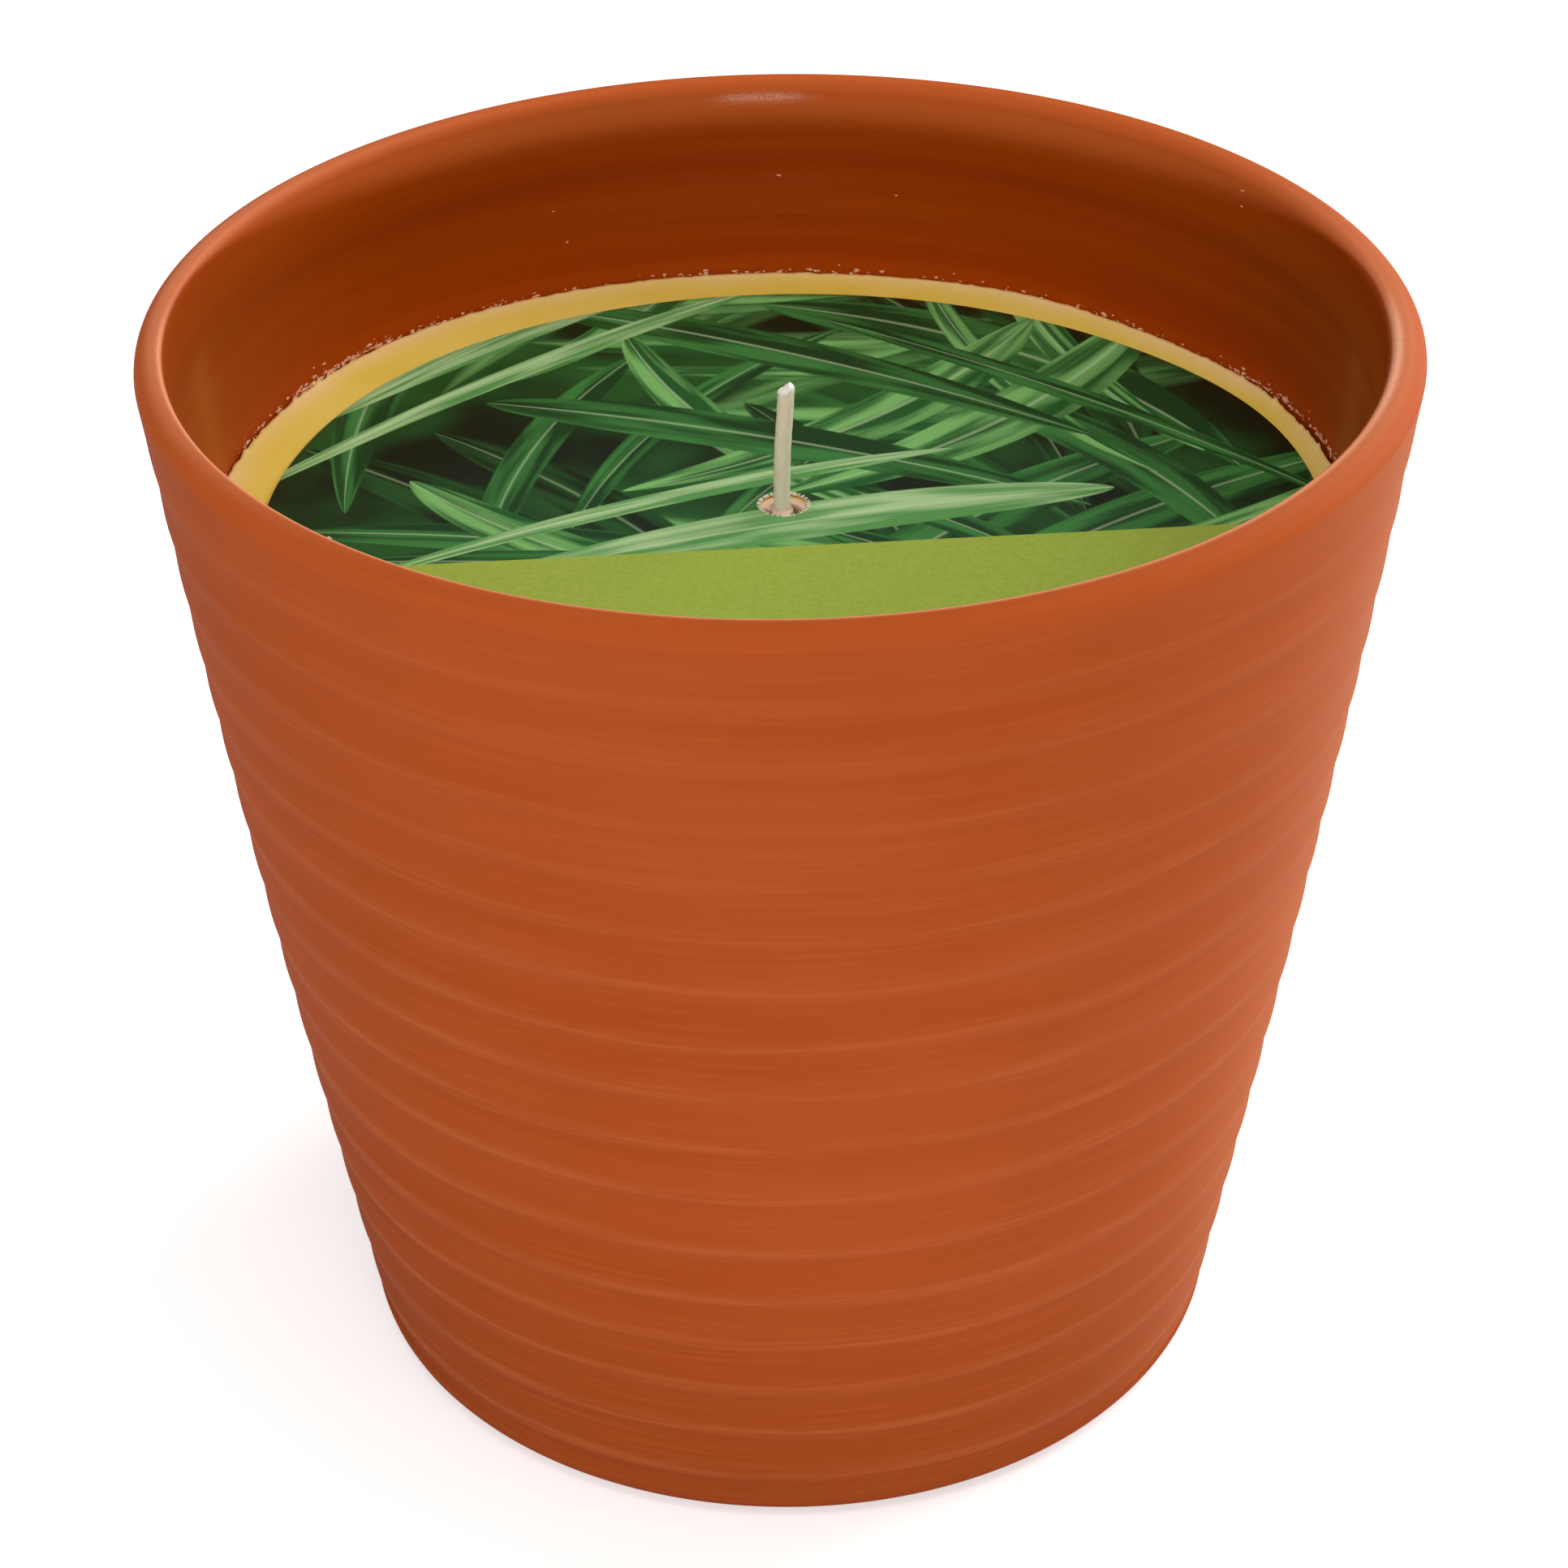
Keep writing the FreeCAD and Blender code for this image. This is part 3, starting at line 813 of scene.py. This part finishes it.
def leafRow():
    # A row of printed leaves laid over what is under it. The row is cut into strips, which bend by
    # a parabola and widen along their length. Each strip holds one leaf or none: numbers drawn for
    # the strip give the leaf's width, its place in the strip and how far it is slid along. A leaf
    # is as wide as a power of one less the square of the distance along it, and has a rib, veins,
    # streaks and a darker half.
    group = bpy.data.node_groups.new("leaf_row", "ShaderNodeTree")
    sockets = {
        "Vector": ("Point", "Middle", "Turn"),
        "Float": ("Pitch", "Bend", "Length", "Blur", "Rib", "Seed", "Bare"),
        "Color": ("Under", "Shade", "Light"),
    }
    for kind, names in sockets.items():
        for name in names:
            group.interface.new_socket(name, in_out="INPUT", socket_type="NodeSocket" + kind)
    group.interface.new_socket("Colour", in_out="OUTPUT", socket_type="NodeSocketColor")
    given = group.nodes.new("NodeGroupInput").outputs
    axes = {"Location": given["Middle"], "Rotation": given["Turn"]}
    own = addNode(group, "Mapping", {"vector_type": "TEXTURE"}, Vector=given["Point"], **axes)
    along, across, _ = addNode(group, "SeparateXYZ", None, Vector=own.outputs[0]).outputs
    # the strips, and the numbers drawn for each
    bent = less(group, across, times(group, given["Bend"], times(group, along, along)))
    pitch = times(group, given["Pitch"], plus(group, times(group, along, 0.006), 1.0))
    strips = combine(group, "DIVIDE", bent, pitch)
    strip = combine(group, "FLOOR", strips)
    seed = plus(group, strip, given["Seed"])
    drawn = addNode(group, "TexWhiteNoise", {"noise_dimensions": "1D"}, W=seed).outputs
    red, green, blue = addNode(group, "SeparateColor", None, Color=drawn["Color"]).outputs
    # the leaf's outline
    slid = combine(group, "DIVIDE", along, given["Length"])
    slid = plus(group, slid, less(group, red, 0.5))
    left = less(group, 1.0, times(group, times(group, slid, slid), 4.0))
    left = combine(group, "MAXIMUM", left, 0.0)
    least, most = label["leafWidth"]
    half = plus(group, times(group, green, most - least), least)
    grown = combine(group, "GREATER_THAN", drawn["Value"], given["Bare"])
    width = times(group, combine(group, "POWER", left, label["leafPoint"]), half)
    width = times(group, width, grown)
    aside = times(group, less(group, blue, 0.5), less(group, 1.0, times(group, half, 2.0)))
    off = less(group, less(group, less(group, strips, strip), 0.5), aside)
    inside = less(group, width, combine(group, "ABSOLUTE", off))
    inside = times(group, inside, given["Pitch"])
    cover = combine(group, "DIVIDE", inside, given["Blur"], clamp=True)
    # its halves, veins, streaks and rib
    side = combine(group, "DIVIDE", off, combine(group, "MAXIMUM", width, 0.02))
    halves = times(group, plus(group, times(group, side, 4.0), 0.5, clamp=True), 0.3)
    close, strong = label["veins"]
    veins = times(group, combine(group, "SINE", times(group, side, close)), strong)
    aside = plus(group, side, times(group, strip, 7.3))
    stretched = addNode(group, "CombineXYZ", None, X=times(group, along, 0.03), Y=aside).outputs[0]
    flat = {"noise_dimensions": "2D"}
    streaks = addNode(group, "TexNoise", flat, Vector=stretched, Scale=1.6, Detail=1.0).outputs[0]
    tone = plus(group, halves, veins)
    tone = plus(group, tone, spread(group, streaks, -0.2, 0.75), clamp=True)
    colour = blend(group, tone, given["Shade"], given["Light"])
    rib = times(group, combine(group, "ABSOLUTE", side), label["ribThin"])
    rib = less(group, 1.0, rib, clamp=True)
    colour = blend(group, times(group, rib, given["Rib"]), colour, label["rib"])
    result = group.nodes.new("NodeGroupOutput")
    group.links.new(blend(group, cover, given["Under"], colour), result.inputs[0])
    return group


def labelMaterial():
    # Satin card printed with leaves on dark green, a plain lime field in front, and bare where it
    # is cut. The print is laid out in millimetres over the card.
    material, tree, shader, place = newMaterial("printed_card")
    flat = {"_0": place, "_1": (1000, 1000, 0)}
    point = addNode(tree, "VectorMath", {"operation": "MULTIPLY"}, **flat).outputs[0]
    murk = speckle(tree, place, 40.0, detail=2.0)
    grain = speckle(tree, place, 1400.0, detail=2.0)
    colour = blend(tree, spread(tree, murk, 0.0, 1.0, 0.35, 0.7), *label["murk"])
    group = leafRow()
    names = ("Pitch", "Bend", "Length", "Blur", "Rib", "Bare")
    for number, (middle, turn, *numbers, tone) in enumerate(label["rows"]):
        row = {
            **dict(zip(names, numbers)),
            **dict(zip(("Shade", "Light"), label["tones"][tone])),
            "Middle": (*middle, 0),
            "Turn": (0, 0, math.radians(turn)),
            "Seed": 17.5 * (number + 1),
        }
        laid = addNode(tree, "Group", {"node_tree": group}, Point=point, Under=colour, **row)
        colour = laid.outputs[0]
    axes = {
        "Location": (0, label["bandEdge"], 0),
        "Rotation": (0, 0, math.radians(label["bandTurn"])),
    }
    ahead = addNode(tree, "Mapping", {"vector_type": "TEXTURE"}, Vector=point, **axes).outputs[0]
    ahead = addNode(tree, "SeparateXYZ", None, Vector=ahead).outputs[1]
    lime = blend(tree, spread(tree, grain), *label["lime"])
    colour = blend(tree, times(tree, ahead, -8.0, clamp=True), colour, lime)
    card = blend(tree, spread(tree, grain), *label["card"])
    looks = {
        "Base_Color": blend(tree, spread(tree, mark(tree, "printed")), card, colour),
        "Roughness": spread(tree, grain, 0.36, 0.46),
        "Specular_IOR_Level": 0.2,
    }
    coat(tree, shader, (grain, 0.00003, 0.4), **looks)
    return material


makeLabel(labelMaterial())
print("label made")


sustainer = {
    "colours": (paint(150, 152, 154), paint(196, 198, 198)),
    "roughness": (0.25, 0.42),
}


def tinnedSheet():
    # Tinned sheet with the fine turning marks of its stamping
    material, tree, shader, place = newMaterial("tinned_sheet")
    lines = speckle(tree, place, 1.0, (900, 900, 60))
    looks = {
        "Base_Color": blend(tree, lines, *sustainer["colours"]),
        "Roughness": spread(tree, lines, *sustainer["roughness"]),
        "Metallic": 1.0,
    }
    coat(tree, shader, (lines, 0.00005, 0.3), **looks)
    return material


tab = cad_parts["wick_sustainer"]
tab.data.materials.clear()
tab.data.materials.append(tinnedSheet())
print("tab finished")


studio = {
    "floorHalf": 4.0,
    "floorCells": 8,
    "floorColour": (0.9, 0.9, 0.9, 1),
    "floorGlow": 0.5,
    "worldLight": 0.32,
    # name, place, size and power
    "lamps": [
        ("overhead", (0.0, -0.35, 1.6), 0.9, 6.6),
        ("rightKey", (1.25, 0.7, 0.95), 0.8, 9.0),
        ("rightRim", (1.2, 0.9, 0.32), 0.7, 12.0),
        ("leftSoftbox", (-1.4, -0.5, 0.6), 0.8, 2.2),
        ("frontFill", (0.1, -1.8, 0.8), 1.4, 12.0),
    ],
    "aim": (0, 0, 0.08),
}


def makeFloor():
    # A level grid, pale and dull, that glows a little for the camera only
    line = np.linspace(-studio["floorHalf"], studio["floorHalf"], studio["floorCells"] + 1)
    across, back = np.meshgrid(line, line)
    index = np.arange(across.size).reshape(across.shape)
    cells = np.stack([index[:-1, :-1], index[:-1, 1:], index[1:, 1:], index[1:, :-1]], -1)
    corners = np.stack([across, back, 0 * across], -1).reshape(-1, 3)
    mesh = bpy.data.meshes.new("floor")
    mesh.from_pydata(corners.tolist(), [], cells.reshape(-1, 4).tolist())
    floor = bpy.data.objects.new("floor", mesh)
    bpy.context.scene.collection.objects.link(floor)
    material = bpy.data.materials.new("white_floor")
    material.use_nodes = True
    tree = material.node_tree
    shader = tree.nodes["Principled BSDF"]
    dull = {"Base_Color": studio["floorColour"], "Roughness": 0.9, "Specular_IOR_Level": 0.0}
    fill(tree, shader, dull)
    seen = addNode(tree, "LightPath").outputs["Is Camera Ray"]
    strength = times(tree, seen, studio["floorGlow"])
    glow = addNode(tree, "Emission", None, Color=(1, 1, 1, 1), Strength=strength)
    both = addNode(tree, "AddShader", None, _0=shader.outputs[0], _1=glow.outputs[0])
    tree.links.new(both.outputs[0], tree.nodes["Material Output"].inputs["Surface"])
    mesh.materials.append(material)


def makeWorld():
    # White to the camera, and a softer light on everything else
    world = bpy.data.worlds.new("studio")
    bpy.context.scene.world = world
    world.use_nodes = True
    tree = world.node_tree
    path = addNode(tree, "LightPath").outputs
    shown = combine(tree, "MAXIMUM", path["Is Camera Ray"], path["Is Transmission Ray"])
    ends = {"To_Min": studio["worldLight"], "To_Max": 1.0}
    strength = addNode(tree, "MapRange", None, Value=shown, **ends).outputs[0]
    fill(tree, tree.nodes["Background"], {"Color": (1, 1, 1, 1), "Strength": strength})


def makeLamps():
    # Square white lamps, all turned towards the candle
    aim = Vector(studio["aim"])
    for name, place, size, power in studio["lamps"]:
        data = bpy.data.lights.new(name, "AREA")
        data.shape = "SQUARE"
        data.size, data.energy = size, power
        lamp = bpy.data.objects.new(name, data)
        lamp.location = place
        lamp.rotation_euler = (Vector(place) - aim).to_track_quat("Z", "Y").to_euler()
        bpy.context.scene.collection.objects.link(lamp)


camera = {
    "place": (-0.000142, -0.45727, 0.36301),
    "lookDown": 0.559,
    "roll": -0.011,
    # a focal length of 4986.27 in pixels of a picture 1932 wide, on a sensor of 36 mm
    "lens": 36 * 4986.27 / 1932,
}


def makeCamera():
    # Looks along the way to the back, down by an angle and rolled a little
    data = bpy.data.cameras.new("camera")
    data.lens, data.sensor_width, data.clip_start = camera["lens"], 36, 0.01
    eye = bpy.data.objects.new("camera", data)
    eye.location = camera["place"]
    eye.rotation_mode = "ZYX"
    eye.rotation_euler = (math.pi / 2 - camera["lookDown"], 0, camera["roll"])
    bpy.context.scene.collection.objects.link(eye)
    bpy.context.scene.camera = eye


makeFloor()
makeWorld()
makeLamps()
makeCamera()
bpy.context.scene.view_settings.view_transform = "Standard"
print("studio made")
